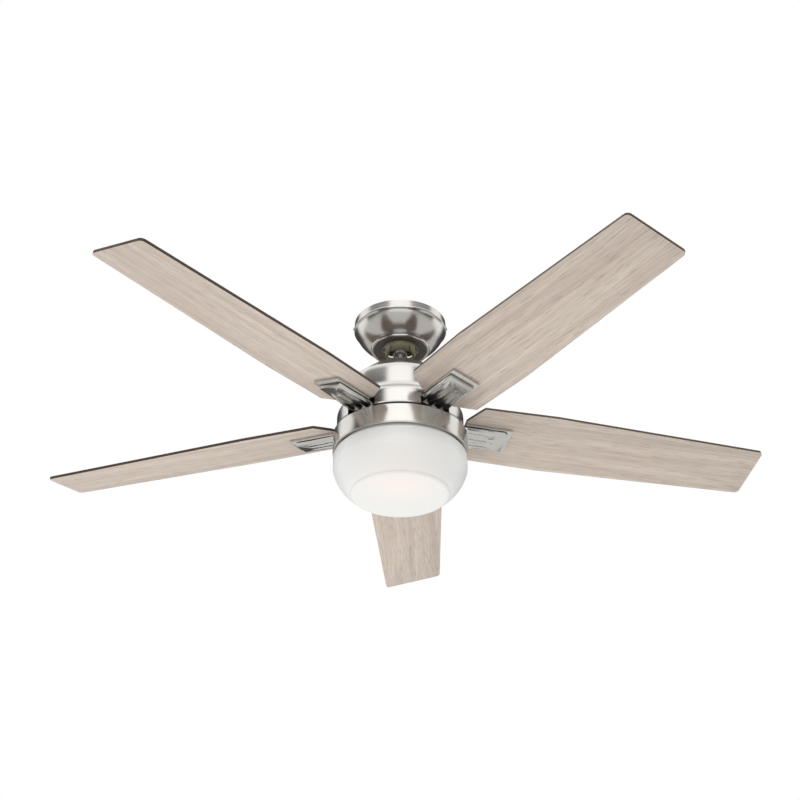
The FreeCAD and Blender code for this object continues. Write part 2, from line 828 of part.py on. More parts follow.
def at_blade(thing, index, pitched):
    """Turns a piece to its blade's direction, and pitches it about that direction."""
    turn = float(dims.blade_phase) + index * FULL_TURN / BLADES
    spin = FreeCAD.Rotation(FreeCAD.Vector(0, 0, 1), turn)
    if pitched:
        pitch = FreeCAD.Rotation(FreeCAD.Vector(1, 0, 0), -float(dims.blade_pitch))
        spin = spin.multiply(pitch)
    return place(thing, -dims.blade_drop, rotation=spin)


def mirrored_steps(steps):
    """Closes half an outline, given below the X axis, with its mirror image above it."""
    return steps + [(x, -y) for x, y in reversed(steps)]


def round_corners(body, feature, radius, test):
    """Rounds the upright edges of a padded feature whose middle passes the test."""
    names = []
    for index, edge in enumerate(feature.Shape.Edges, start=1):
        ends = [vertex.Point for vertex in edge.Vertexes]
        upright = len(ends) == 2 and abs(ends[0].x - ends[1].x) + abs(ends[0].y - ends[1].y) < 0.01
        if upright and test(ends[0]):
            names.append(f"Edge{index}")
    fillet = body.newObject("PartDesign::Fillet", "Rounded")
    fillet.Base = (feature, names)
    bind(fillet, Radius=radius)
    doc.recompute()
    return fillet


SCREW_SHANK = 2.3        # radius of the screws in the blades and irons
SCREW_DEPTH = 9          # length of a blade screw under its head


def blade_screw_places():
    """Where the three screws of a blade stand."""
    outer = dims.plate_end - 14
    return [(outer, 15), (outer, -15), (dims.plate_root + 26, 0)]


def blade(index):
    body = new_body(f"blade_{index + 1}")
    outline = mirrored_steps([
        (dims.blade_root, -dims.root_half),
        (dims.blade_root + 24, -dims.shoulder_half),
        (277, -dims.belly_half),
        (dims.blade_tip, -dims.tip_half),
    ])
    slab = pad(body, outline, dims.blade_thick)
    tip = float(dims.blade_tip)
    tipped = round_corners(body, slab, 9, lambda point: abs(point.x - tip) < 1)
    round_corners(body, tipped, 4, lambda point: point.x < 150)
    drill(body, blade_screw_places(), SCREW_SHANK, dims.blade_thick, offset=dims.blade_thick)
    return at_blade(body, index, pitched=True)


def blade_plate(index):
    """The flat plate between a blade and its iron."""
    body = new_body(f"blade_plate_{index + 1}")
    outline = box_steps(dims.plate_root, -dims.plate_half, dims.plate_end, dims.plate_half)
    slab = pad(body, outline, dims.plate_thick, offset=-dims.plate_thick)
    round_corners(body, slab, 1.5, lambda point: True)
    drill(body, blade_screw_places(), SCREW_SHANK, SCREW_DEPTH - dims.blade_thick)
    return at_blade(body, index, pitched=True)


IRON_SCREWS = (67, 77)   # axis to the two screws of an iron


def blade_iron(index):
    """The arm from the rotor, level under the rotor and pitched like its blade at the outer
    end. Three flutes under it fade out towards the blade."""
    thick = dims.iron_thick
    top = -(dims.plate_thick + dims.iron_gap)
    stations = [
        (dims.iron_end, -dims.blade_pitch, top - thick, top, 21, 25.5),
        (dims.iron_end - 30, -dims.blade_pitch, top - thick - 0.5, top - 0.3, 21.5, 25.5),
        (dims.bell_skirt + 1, -dims.iron_tilt, dims.iron_floor, dims.iron_roof, 25, 27),
        (dims.bell_skirt - 8, -dims.iron_tilt, dims.iron_floor, dims.iron_roof, 24, 25),
        (83, 0, dims.rotor_foot - 6, dims.rotor_foot, 15, 16),
        (61, 0, dims.rotor_foot - 6, dims.rotor_foot, 14, 15),
    ]
    arm = doc.addObject("PartDesign::Body", f"arm_{index + 1}")
    sketches = []
    for along, tilt, low, high, low_half, high_half in stations:
        sketch = new_sketch(arm, "YZ_Plane", along, tilt)
        draw(sketch, [(-low_half, low), (low_half, low), (high_half, high), (-high_half, high)])
        sketches.append(sketch)
    loft = arm.newObject("PartDesign::AdditiveLoft", "Arm")
    loft.Profile = sketches[0]
    loft.Sections = sketches[1:]
    loft.Ruled = True
    doc.recompute()
    pad_height = float(dims.iron_gap) + 1
    boss = block(24, 34, pad_height, top - 1, x=dims.iron_end - 17)
    turn = FreeCAD.Rotation(FreeCAD.Vector(1, 0, 0), -float(dims.blade_pitch))
    boss.Placement = FreeCAD.Placement(FreeCAD.Vector(0, 0, 0), turn).multiply(boss.Placement)
    holes = [cylinder(SCREW_SHANK, 20, x, 0, -20) for x in IRON_SCREWS]
    return keep(at_blade(cut(join(arm, boss), *flutes(), *holes), index, pitched=False),
                f"blade_iron_{index + 1}")


def flutes():
    """The three tapered grooves in the underside of a blade iron."""
    hub_slope = math.tan(math.radians(float(dims.iron_tilt)))
    end_slope = math.tan(math.radians(float(dims.blade_pitch)))
    floor = float(dims.iron_floor)
    outer = -float(dims.plate_thick + dims.iron_gap + dims.iron_thick) - 1
    grooves = []
    for side in (-1, 0, 1):
        near, far = side * 16.5, side * 14
        start = FreeCAD.Vector(float(dims.bell_skirt) - 9, near, floor - 7 - near * hub_slope)
        end = FreeCAD.Vector(float(dims.iron_end) - 20, far, outer - far * end_slope)
        grooves.append(cone(9.6, 0.6, start, end))
    return grooves


def blade_screws():
    """Three screws through the top of each blade into its plate."""
    screws = []
    for index in range(BLADES):
        for x, y in blade_screw_places():
            one = screw(float(x), y, float(dims.blade_thick), SCREW_SHANK, 5, 2.4, SCREW_DEPTH)
            screws.append(at_blade(one, index, pitched=True))
    return keep(group(*screws), "blade_screws")


def iron_screws():
    """Two screws through each iron's inner end, up into the rotor."""
    screws = []
    for index in range(BLADES):
        for x in IRON_SCREWS:
            one = screw(x, 0, float(dims.rotor_foot) - 6, SCREW_SHANK, 4, 2.4, 10, direction=1)
            screws.append(at_blade(one, index, pitched=False))
    return keep(group(*screws), "iron_screws")


def bell_screws():
    """Four screws that hold the bell housing on spacers on the rotor's top."""
    screws = []
    for x, y in bell_screw_places():
        spacer = cylinder(5, dims.bell_deck - dims.sheet_wall - dims.rotor_top, x, y,
                          dims.rotor_top)
        head = cylinder(4, 1.2, x, y, dims.bell_deck)
        shank = cylinder(2, dims.sheet_wall, x, y, dims.bell_deck - dims.sheet_wall)
        screws.append(join(spacer, head, shank))
    return at_hub(keep(group(*screws), "bell_screws"), dims.blade_phase)


# ---- light kit, in the hub frame --------------------------------------------------------


def light_mount_plate():
    """The steel plate on the shaft that carries the fitter band."""
    top = dims.band_top - dims.sheet_wall
    return at_hub(turned("light_mount_plate", [
        (dims.shaft_radius, top),
        (100, top),
        (100, top - 2),
        (60, top - 2),
        (56, top - 10),
        (dims.shaft_radius, top - 10),
        (dims.shaft_radius, top - 8),
        (53, top - 8),
        (57, top - 2),
        (dims.shaft_radius, top - 2),
    ]))


def fitter_band():
    """The brushed band between the blades and the glass, with a rolled lower lip."""
    wall = dims.sheet_wall
    out = dims.band_radius
    top = dims.band_top
    foot = dims.band_foot
    return at_hub(turned("fitter_band", [
        (70, top),
        (out - 1.5, top),
        (out, top - 1.5, 1.5, -1),
        (out, foot + 2.2),
        (out - 1, foot, 1.6, -1),
        (out - 4.5, foot),
        (out - 4.5, foot + wall),
        (out - wall, foot + 3.2, 2.5, 1),
        (out - wall, top - 2),
        (out - 2, top - wall),
        (70, top - wall),
    ]))


def light_pan():
    """The white reflector pan above the bulbs."""
    top = dims.band_top - 20
    body = turned("light_pan", [
        (16, top),
        (96, top),
        (103, top + 6, 8, -1),
        (104.2, top + 5),
        (97, top - 1.2, 9, 1),
        (16, top - 1.2),
    ])
    drill(body, pan_screw_places(), 2, 4, offset=top + 1)
    return at_hub(body)


def pan_screw_places():
    return [polar(82, 30 + index * 120) for index in range(3)]


def light_pan_screws():
    """Three posts with screw heads that hold the pan under the mounting plate."""
    screws = []
    plate_low = dims.band_top - dims.sheet_wall - 2
    pan_low = dims.band_top - 21.2
    for x, y in pan_screw_places():
        post = cylinder(3, plate_low - dims.band_top + 20, x, y, dims.band_top - 20)
        head = cylinder(5, 2.2, x, y, pan_low - 2.2)
        neck = cylinder(2, 1.2, x, y, pan_low)
        screws.append(join(post, head, neck))
    return at_hub(keep(group(*screws), "light_pan_screws"))


LAMP_HEIGHT = -80      # height of the bulbs' axis in the hub frame


def lamp_socket(index):
    """A porcelain lamp socket lying on its side, on a foot under the pan."""
    side = 1 if index == 0 else -1
    along = FreeCAD.Vector(side, 0, 0)
    shell = cut(cylinder(18, 32, side * 6, 0, LAMP_HEIGHT, along),
                cylinder(13.4, 40, side * 12, 0, LAMP_HEIGHT, along))
    pan_low = float(dims.band_top) - 21.2
    foot = block(12, 14, pan_low - LAMP_HEIGHT - 15, LAMP_HEIGHT + 15, x=side * 20)
    return at_hub(keep(join(shell, foot), f"lamp_socket_{index + 1}"))


def led_bulb(index):
    """An LED bulb: screw base, tapered body and round diffuser."""
    length = 84
    rim_x, rim = 52, 22.5
    beyond = length - rim_x
    dome = (rim ** 2 + beyond ** 2) / (2 * beyond)
    body = turned(f"led_bulb_{index + 1}", [
        (0, 0),
        (6, 0),
        (12.9, 3),
        (12.9, 24),
        (14, 27),
        (rim, rim_x, 60, -1),
        (0, length, dome, 1),
    ])
    side = 1 if index == 0 else -1
    spin = FreeCAD.Rotation(FreeCAD.Vector(0, 0, 1), FreeCAD.Vector(side, 0, 0))
    return place(body, -dims.blade_drop + LAMP_HEIGHT, x=side * 14, rotation=spin)


def glass_shade():
    """The cased glass drum: a neck in the band, a straight wall, and a tapered bottom."""
    wall = dims.glass_wall
    out = dims.glass_radius
    neck = dims.glass_neck
    lip = dims.band_foot - 0.8
    base = dims.glass_base
    disc = dims.glass_disc
    return at_hub(turned("glass_shade", [
        (neck, lip + 14),
        (neck, lip),
        (neck + 4, lip),
        (out, lip - 8, 8.5, -1),
        (out, dims.glass_waist),
        (disc + 4.5, base + 4.5, 110, -1),
        (disc, base, 6.5, -1),
        (0, base),
        (0, base + wall),
        (disc - 1.5, base + wall),
        (disc + 2, base + 7, 5, 1),
        (out - wall, dims.glass_waist, 106, 1),
        (out - wall, lip - 8),
        (neck + 1, lip - wall, 6, 1),
        (neck - wall, lip - wall, 8, -1),
        (neck - wall, lip + 14),
    ]))


def glass_retaining_ring():
    """The metal ring bonded round the glass neck, with three bayonet lugs."""
    low = dims.band_foot + 4
    ring = tube(dims.glass_neck + 1.5, dims.glass_neck, 8, low)
    lugs = []
    for index in range(3):
        lug = cut(cylinder(dims.glass_neck + 5, 2.5, z=low + 5),
                  cylinder(dims.glass_neck + 0.8, 5, z=low + 4))
        sector = block(30, 20, 10, low, x=dims.glass_neck + 5)
        piece = doc.addObject("Part::Common", "Lug")
        piece.Base = lug
        piece.Tool = sector
        lugs.append(place(piece, 0, index * 120 + 75))
    return at_hub(keep(join(ring, *lugs), "glass_retaining_ring"))


def glass_keepers():
    """Three ledges inside the band that the bayonet lugs rest on."""
    low = dims.band_foot + 6.2
    ledges = []
    for index in range(3):
        ring = cut(cylinder(dims.band_radius - dims.sheet_wall, 2.4, z=low),
                   cylinder(dims.glass_neck + 2.2, 5, z=low - 1))
        sector = block(30, 26, 10, low - 3, x=dims.glass_neck + 8)
        piece = doc.addObject("Part::Common", "Ledge")
        piece.Base = ring
        piece.Tool = sector
        ledges.append(place(piece, 0, index * 120 + 75))
    return at_hub(keep(group(*ledges), "glass_keepers"))


# ---- the whole fan ----------------------------------------------------------------------


def build():
    canopy()
    canopy_trim_ring()
    ball_shroud()
    hanger_bracket()
    hanger_ball()
    ball_set_screw()
    ball_cross_pin()
    downrod()
    canopy_screws()
    remote_receiver()
    wire_connectors()
    motor_coupling()
    clevis_pin()
    cotter_pin()
    coupling_set_screws()
    coupling_cover()
    bell_housing()
    bell_screws()
    motor_shaft()
    stator_core()
    stator_windings()
    bearing_rings()
    rotor_shells()
    rotor_magnets()
    shaft_lock_nut()
    for index in range(BLADES):
        blade(index)
        blade_plate(index)
        blade_iron(index)
    blade_screws()
    iron_screws()
    light_mount_plate()
    fitter_band()
    light_pan()
    light_pan_screws()
    for index in range(2):
        lamp_socket(index)
        led_bulb(index)
    glass_shade()
    glass_retaining_ring()
    glass_keepers()


def check():
    """Stops if any object failed, or if a sub-part is empty or not a sound solid."""
    doc.recompute()
    for thing in doc.Objects:
        if "Invalid" in thing.State or "Error" in thing.State:
            raise ValueError(f"{thing.Name} ({thing.Label}) failed: {thing.State}")
    for part in parts:
        shape = part.Shape
        if shape.isNull() or not shape.isValid() or not shape.Solids:
            raise ValueError(f"{part.Label} is not a sound solid")


def write():
    os.makedirs("parts", exist_ok=True)
    for part in parts:
        part.Shape.exportStep(f"parts/{part.Label}.step")
        box = part.Shape.BoundBox
        print(f"{part.Label:28s} solids {len(part.Shape.Solids):2d}  "
              f"z {box.ZMin:8.1f} to {box.ZMax:8.1f}  volume {part.Shape.Volume:10.0f}")
    print(len(parts), "sub-parts")


build()
check()
write()
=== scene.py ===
# %% [markdown]
# # A five-bladed ceiling fan with a glass bowl light
# The fan hangs from the ceiling, so everything is placed downwards from there: the origin is on
# the fan's axis at the ceiling, and Z points up. The motor's own height, the hub, is a fixed drop
# below. Lengths in the lesson are written in millimetres, as a maker would write them.

# %% Load the frame
import json
import math

import bpy
from mathutils import Euler, Matrix, Vector


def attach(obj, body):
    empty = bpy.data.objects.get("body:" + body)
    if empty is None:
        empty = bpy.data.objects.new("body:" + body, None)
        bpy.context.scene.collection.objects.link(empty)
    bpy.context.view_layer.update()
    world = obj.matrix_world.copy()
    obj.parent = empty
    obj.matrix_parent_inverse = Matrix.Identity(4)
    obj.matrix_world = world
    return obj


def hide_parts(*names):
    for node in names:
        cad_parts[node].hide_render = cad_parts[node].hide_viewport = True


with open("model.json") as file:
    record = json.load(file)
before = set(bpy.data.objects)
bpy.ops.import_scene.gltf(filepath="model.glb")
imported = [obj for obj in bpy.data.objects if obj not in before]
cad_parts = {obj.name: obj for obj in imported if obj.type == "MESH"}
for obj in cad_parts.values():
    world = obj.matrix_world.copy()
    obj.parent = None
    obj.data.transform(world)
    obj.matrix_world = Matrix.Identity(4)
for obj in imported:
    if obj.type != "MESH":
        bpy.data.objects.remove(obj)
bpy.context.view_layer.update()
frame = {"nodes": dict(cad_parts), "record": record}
nodes = frame["nodes"]
MM = 0.001
HUB = -213

# %% [markdown]
# ## Small tools
# Operators work on whatever is selected, so each step starts from an empty selection. Colours are
# written as the hex values that a paint chart gives and turned to linear light by one function.

# %% Selecting, colours and nodes
def pick(piece=None):
    """Leaves only this piece selected and active."""
    bpy.ops.object.select_all(action="DESELECT")
    if piece:
        piece.select_set(True)
        bpy.context.view_layer.objects.active = piece


def linear(code):
    """A hex colour as linear red, green, blue and alpha."""
    parts = [int(code[i:i + 2], 16) / 255 for i in (1, 3, 5)]
    return (*[c / 12.92 if c <= 0.04045 else ((c + 0.055) / 1.055) ** 2.4 for c in parts], 1)


def add(tree, kind, settings=None, links=None):
    """Adds a node, with its settings and the sockets that feed it."""
    node = tree.nodes.new(kind)
    for key, value in (settings or {}).items():
        if isinstance(key, int) or key in node.inputs:
            node.inputs[key].default_value = value
        else:
            setattr(node, key, value)
    for key, source in (links or {}).items():
        tree.links.new(source, node.inputs[key])
    return node


def material(name, settings, links=None, bump=None, strength=0.2):
    """A principled material. links is a function that gives socket: output for its tree."""
    made = bpy.data.materials.new(name)
    made.use_nodes = True
    tree = made.node_tree
    tree.nodes.clear()
    feeds, height = links(tree) if links else ({}, None)
    if height is not None:
        feeds["Normal"] = add(tree, "ShaderNodeBump", {"Strength": strength, "Distance": bump},
                              {"Height": height}).outputs["Normal"]
    shader = add(tree, "ShaderNodeBsdfPrincipled", settings, feeds)
    add(tree, "ShaderNodeOutputMaterial", None, {"Surface": shader.outputs["BSDF"]})
    return made


def blend_of(tree, factor, low, high):
    """A colour ramp from one hex colour to another, driven by a texture's value."""
    ramp = add(tree, "ShaderNodeValToRGB", None, {"Fac": factor})
    ramp.color_ramp.elements[0].color = linear(low)
    ramp.color_ramp.elements[1].color = linear(high)
    return ramp


def span(tree, value, low, high, start=0.0, end=1.0):
    """Stretches a texture's value from start..end to low..high."""
    return add(tree, "ShaderNodeMapRange", {"From Min": start, "From Max": end, "To Min": low,
                                            "To Max": high}, {"Value": value}).outputs["Result"]


print("grey 50% is", round(linear("#808080")[0], 3), "in linear light")

# %% [markdown]
# ## Brushed nickel on spun shells
# The canopy, housing and band are spun steel, nickel plated, then brushed while they turn, so fine
# lines run round the axis. Each line spreads light across itself: highlights stretch up and down.
# Anisotropy does the stretching. Rings of noise from radius and height give the lines, drawn 1.5 mm
# apart, coarser than the real tenth of a millimetre, because finer ones would vanish.

# %% Brushed nickel
RING = 1 / (1.5 * MM)


def rings(tree):
    place = add(tree, "ShaderNodeTexCoord").outputs["Object"]
    flat = add(tree, "ShaderNodeVectorMath", {"operation": "MULTIPLY", 1: (1, 1, 0)}, {0: place})
    radius = add(tree, "ShaderNodeVectorMath", {"operation": "LENGTH"}, {0: flat.outputs[0]})
    parts = add(tree, "ShaderNodeSeparateXYZ", None, {"Vector": place})
    drift = add(tree, "ShaderNodeMath", {"operation": "MULTIPLY", 1: 0.02},
                {0: parts.outputs["X"]})
    lines = add(tree, "ShaderNodeCombineXYZ", None, {
        "X": radius.outputs["Value"], "Y": parts.outputs["Z"], "Z": drift.outputs[0]})
    brushed = add(tree, "ShaderNodeTexNoise", {"Scale": RING, "Detail": 3.0, "Roughness": 0.6},
                  {"Vector": lines.outputs[0]}).outputs["Fac"]
    cloud = add(tree, "ShaderNodeTexNoise", {"Scale": 22.0, "Detail": 2.0},
                {"Vector": place}).outputs["Fac"]
    mixed = add(tree, "ShaderNodeMath", {"operation": "MULTIPLY_ADD", 1: 0.35},
                {0: cloud, 2: brushed}).outputs[0]
    tint = blend_of(tree, brushed, "#b9b7b4", "#c6c4c1")
    return {"Base Color": tint.outputs["Color"],
            "Roughness": span(tree, mixed, 0.18, 0.26, 0.35, 1.0)}, brushed


brushed_nickel = material("brushed_nickel_plate", {
    "Metallic": 1.0, "Anisotropic": 0.5, "Anisotropic Rotation": 0.25}, rings, 0.00002, 0.06)
print("ring spacing", round(1000 / RING, 2), "mm")

# %% [markdown]
# ## Satin nickel on the irons
# The blade irons and plates are cast, plated and brushed along their length with a belt. The lines
# follow each blade, so they read the piece's own map, whose U runs along the blade in metres.
# Real lines are a tenth of a millimetre apart. Here they are 1.4 mm apart, coarse enough to show.

# %% Satin nickel
BELT = (5.0, 700.0, 1.0)   # lines in a metre along and across: 200 mm long, 1.4 mm apart


def belt_lines(tree):
    lay = add(tree, "ShaderNodeUVMap", {"uv_map": "Along"}).outputs["UV"]
    drawn = add(tree, "ShaderNodeMapping", {"Scale": BELT}, {"Vector": lay})
    lines = add(tree, "ShaderNodeTexNoise", {"Scale": 1.0, "Detail": 3.0, "Roughness": 0.65},
                {"Vector": drawn.outputs["Vector"]}).outputs["Fac"]
    tint = blend_of(tree, lines, "#c6c5c2", "#d4d3d0")
    return {"Base Color": tint.outputs["Color"],
            "Roughness": span(tree, lines, 0.22, 0.28, 0.3, 0.7)}, lines


satin_nickel = material("satin_nickel_belt_brushed", {"Metallic": 1.0}, belt_lines, 0.00002, 0.02)
print(satin_nickel.name, "lines", round(1000 / BELT[1], 1), "mm apart")

# %% [markdown]
# ## Oak laminate
# A blade is a board of plywood or MDF with a printed oak sheet on each face and a dark band round
# its edge. Quarter-sawn oak shows fine straight streaks, darker pores a few millimetres long and a
# slow wave in tone. Here three stretched noises give those, all along the blade's own map. Real
# pores are a fifth of a millimetre wide, so they are drawn several times wider to show.

# %% Oak, below and above
# How many fit in a metre, along the blade and across it.
WAVES = (1.3, 40.0, 1.0)      # slow waves in tone, 770 mm long and 25 mm wide
STREAKS = (4.5, 420.0, 1.0)   # streaks, 220 mm long and 2.4 mm wide
PORES = (24.0, 800.0, 1.0)    # pores, 42 mm long and 1.25 mm wide


def oak(light, dark, pore):
    def grain(tree):
        lay = add(tree, "ShaderNodeUVMap", {"uv_map": "Along"}).outputs["UV"]
        bend = add(tree, "ShaderNodeTexNoise", {"Scale": 5.0, "Detail": 1.0}, {"Vector": lay})
        shift = add(tree, "ShaderNodeVectorMath", {"operation": "MULTIPLY_ADD",
                    1: (0.0, 0.012, 0.0)}, {0: bend.outputs["Color"], 2: lay}).outputs[0]
        broad = add(tree, "ShaderNodeMapping", {"Scale": WAVES}, {"Vector": shift})
        wide = add(tree, "ShaderNodeTexNoise", {"Scale": 1.0, "Detail": 4.0, "Roughness": 0.6},
                   {"Vector": broad.outputs["Vector"]}).outputs["Fac"]
        fine = add(tree, "ShaderNodeMapping", {"Scale": STREAKS}, {"Vector": shift})
        streak = add(tree, "ShaderNodeTexNoise", {"Scale": 1.0, "Detail": 3.0,
                     "Roughness": 0.7}, {"Vector": fine.outputs["Vector"]}).outputs["Fac"]
        dash = add(tree, "ShaderNodeMapping", {"Scale": PORES}, {"Vector": shift})
        pores = add(tree, "ShaderNodeTexNoise", {"Scale": 1.0, "Detail": 1.0},
                    {"Vector": dash.outputs["Vector"]}).outputs["Fac"]
        sum_of = add(tree, "ShaderNodeMath", {"operation": "MULTIPLY_ADD", 1: 0.9},
                     {0: streak, 2: wide}).outputs[0]
        tone = blend_of(tree, span(tree, sum_of, 0.0, 1.0, 0.65, 1.25), dark, light)
        spots = span(tree, pores, 0.45, 0.0, 0.34, 0.44)
        mixed = add(tree, "ShaderNodeMix", {"data_type": "RGBA", 7: linear(pore)},
                    {0: spots, 6: tone.outputs["Color"]})
        return {"Base Color": mixed.outputs[2],
                "Roughness": span(tree, streak, 0.42, 0.6, 0.3, 0.7)}, streak
    return grain


oak_below = material("greige_oak_laminate", {"Specular IOR Level": 0.35},
                     oak("#d0c5bb", "#a99b90", "#7f7268"), 0.0001, 0.25)
oak_above = material("dark_oak_laminate", {"Specular IOR Level": 0.35},
                     oak("#7d6a5a", "#54453a", "#3a2f28"), 0.0001, 0.25)
print(oak_below.name, "and", oak_above.name, "streaks", round(1000 / STREAKS[1], 1), "mm wide")

# %% [markdown]
# ## Plain finishes that still have a grain
# Mouldings, castings, paint and glaze differ mostly in how fine and how deep their texture is. One
# recipe covers them: a noise of a real size in millimetres moves the colour, roughness and bump.

# %% Speckled finishes
def speckle(size_mm, low, high, smooth, rough, stretch=(1, 1, 1)):
    def texture(tree):
        place = add(tree, "ShaderNodeTexCoord").outputs["Object"]
        drawn = add(tree, "ShaderNodeMapping", {"Scale": stretch}, {"Vector": place})
        dots = add(tree, "ShaderNodeTexNoise", {"Scale": 1000 / size_mm, "Detail": 3.0},
                   {"Vector": drawn.outputs["Vector"]}).outputs["Fac"]
        tint = blend_of(tree, span(tree, dots, 0.0, 1.0, 0.3, 0.7), low, high)
        return {"Base Color": tint.outputs["Color"],
                "Roughness": span(tree, dots, smooth, rough, 0.3, 0.7)}, dots
    return texture


METAL = {"Metallic": 1.0}
finishes = {
    "brushed_nickel": brushed_nickel,
    # bright zinc plate: bluish, cloudy
    "zinc_steel": material("bright_zinc_plate", METAL,
                           speckle(7, "#a9abae", "#c3c6c8", 0.3, 0.48), 0.00005, 0.2),
    # die-cast zinc, tumbled: soft, slightly pebbled
    "cast_zinc": material("tumbled_cast_zinc", METAL,
                          speckle(2, "#97999b", "#b4b6b8", 0.38, 0.55), 0.0001, 0.3),
    # die-cast aluminium: pale, finely pebbled
    "cast_aluminium": material("die_cast_aluminium", METAL,
                               speckle(2.5, "#a6a7a8", "#c2c3c4", 0.42, 0.58), 0.0001, 0.3),
    # stacked sheets: thin lines one above the other, under varnish
    "lamination_steel": material("varnished_steel_laminations", METAL,
                                 speckle(40, "#5c5b5a", "#7f7e7c", 0.35, 0.5, (1, 1, 60)),
                                 0.0001, 0.4),
    "bearing_steel": material("ground_bearing_steel", METAL,
                              speckle(3, "#b9babc", "#cfd0d1", 0.12, 0.22), 0.00002, 0.1),
    # enamelled wire: its turns show as ridges
    "copper_wire": material("enamelled_copper_wire", {"Metallic": 1.0, "Coat Weight": 0.5},
                            speckle(20, "#9a4f2c", "#c9743f", 0.25, 0.4, (1, 1, 25)),
                            0.0002, 0.5),
    "ferrite": material("ground_ferrite", {"Specular IOR Level": 0.4},
                        speckle(1.2, "#2b2b2d", "#3a3a3c", 0.5, 0.7), 0.0001, 0.3),
    # moulded ABS: a fine spark-eroded texture that dulls the shine
    "black_plastic": material("moulded_black_abs", {"Specular IOR Level": 0.5},
                              speckle(1.5, "#141414", "#202020", 0.45, 0.62), 0.0001, 0.3),
    "orange_plastic": material("moulded_orange_polypropylene", {"Specular IOR Level": 0.5},
                               speckle(3, "#c9581a", "#dd6f2a", 0.3, 0.45), 0.00005, 0.2),
    # satin paint over the dish: even, with a faint orange peel
    "bronze_grey_paint": material("bronze_grey_satin_paint", {"Metallic": 0.25},
                                  speckle(3, "#79745f", "#8e8871", 0.38, 0.5), 0.00008, 0.2),
    "white_enamel": material("white_stove_enamel", {"Coat Weight": 0.4, "Coat Roughness": 0.1},
                             speckle(4, "#e6e5e1", "#f1f0ed", 0.2, 0.34), 0.00005, 0.2),
    "porcelain": material("glazed_porcelain", {"Coat Weight": 0.7, "Coat Roughness": 0.05},
                          speckle(6, "#e9e7e0", "#f3f1ec", 0.12, 0.24), 0.00005, 0.2),
    "opal_bulb": material("opal_polycarbonate", {"Emission Strength": 3.0,
                          "Emission Color": linear("#ffe4cf")},
                          speckle(5, "#f3efe8", "#fbf8f3", 0.35, 0.45), 0.00003, 0.1),
}
edge_band = material("dark_brown_edge_band", {"Specular IOR Level": 0.4},
                     speckle(4, "#3d332e", "#4d423c", 0.42, 0.6), 0.0001, 0.3)
dark_ring = material("dark_nickel_satin", METAL,
                     speckle(3, "#6f6b66", "#837f79", 0.4, 0.5), 0.00004, 0.2)
finishes["oak_laminate"] = oak_below
print(len(finishes), "finishes")

# %% [markdown]
# ## Frosted glass
# The bowl is clear glass cased with a thin white layer and etched outside. It hides the lamps.
# Their glow through it is painted as an emission colour: brightest and warmest low in the middle,
# even and cool elsewhere, from a ball-shaped falloff round the lamps' middle, over a white skin
# with a soft sheen.
# The painted glow is darkened up the shoulder under the band, as painted shade where less light
# reaches.

# %% Cased white glass
GLOW_REACH = 100   # mm from the lamps' middle to where the glow has faded


def cased_glass(tree):
    place = add(tree, "ShaderNodeTexCoord").outputs["Object"]
    # real etched grains are hundredths of a millimetre, so these of 3 mm are coarse enough to show
    etch = add(tree, "ShaderNodeTexNoise", {"Scale": 300.0, "Detail": 3.0},
               {"Vector": place}).outputs["Fac"]
    skin = blend_of(tree, etch, "#b6b7b6", "#bfbfbe")
    from_lamps = add(tree, "ShaderNodeVectorMath", {"operation": "SUBTRACT",
                     1: (0, -40 * MM, (HUB - 122) * MM)}, {0: place})
    away = add(tree, "ShaderNodeVectorMath", {"operation": "LENGTH"},
               {0: from_lamps.outputs[0]}).outputs["Value"]
    painted_glow_mask = add(tree, "ShaderNodeMapRange", {"interpolation_type": "SMOOTHSTEP",
               "From Min": GLOW_REACH * MM, "From Max": 15 * MM}, {"Value": away})
    # painted glow: an emission colour that stands in for the lamps' light coming through the glass
    painted_lamp_glow = blend_of(tree, painted_glow_mask.outputs["Result"], "#8c8d8d", "#a0918a")
    height = add(tree, "ShaderNodeSeparateXYZ", None, {"Vector": place}).outputs["Z"]
    # painted shade: the emission is dimmed up the shoulder under the band
    painted_shoulder_shade = span(tree, height, 1.0, 0.62, (HUB - 92) * MM, (HUB - 66) * MM)
    painted_glow_spread = add(tree, "ShaderNodeVectorMath", {"operation": "SCALE"},
                 {0: painted_lamp_glow.outputs["Color"], "Scale": painted_shoulder_shade})
    return {"Base Color": skin.outputs["Color"], "Emission Color": painted_glow_spread.outputs[0],
            "Roughness": span(tree, etch, 0.3, 0.42)}, etch


frosted = material("etched_cased_white_glass", {"Emission Strength": 1.0,
                   "Specular IOR Level": 0.45}, cased_glass, 0.00005, 0.1)
finishes["frosted_glass"] = frosted
print(frosted.name, "glows", GLOW_REACH, "mm from the lamps")

# %% [markdown]
# ## The inner works keep their CAD shapes
# Motor, bearings, bracket and screws are hard machined parts whose shapes are already right, so
# they only receive a finish, chosen by the slot that each one has in its record.

# %% Finishes on the CAD nodes
for part in frame["record"]["subparts"]:
    carried = nodes[part["node"]]
    carried.data.materials.clear()
    carried.data.materials.append(finishes[part["material_slot"]])

# %% [markdown]
# ## Turning a shell
# A spun shell is a flat outline swept round the axis. By hand: add a circle, extrude its edge,
# move it down and scale it, again and again, and merge the last ring with the first. Corners are
# eased first, because no spun corner is sharp and an eased edge catches a thin line of light.

# %% Outlines and turning
def eased(corners, steps=5):
    """Rounds each (radius, height, ease) corner of an outline by its ease, in mm."""
    points = []
    for index, corner in enumerate(corners):
        here = Vector(corner[:2])
        ease = corner[2] if len(corner) > 2 else 0
        if not ease:
            points.append(here)
            continue
        before = Vector(corners[index - 1][:2]) - here
        after = Vector(corners[(index + 1) % len(corners)][:2]) - here
        first = here + before.normalized() * min(ease, before.length * 0.48)
        last = here + after.normalized() * min(ease, after.length * 0.48)
        for step in range(steps + 1):
            t = step / steps
            points.append(first * (1 - t) ** 2 + here * 2 * t * (1 - t) + last * t ** 2)
    return points


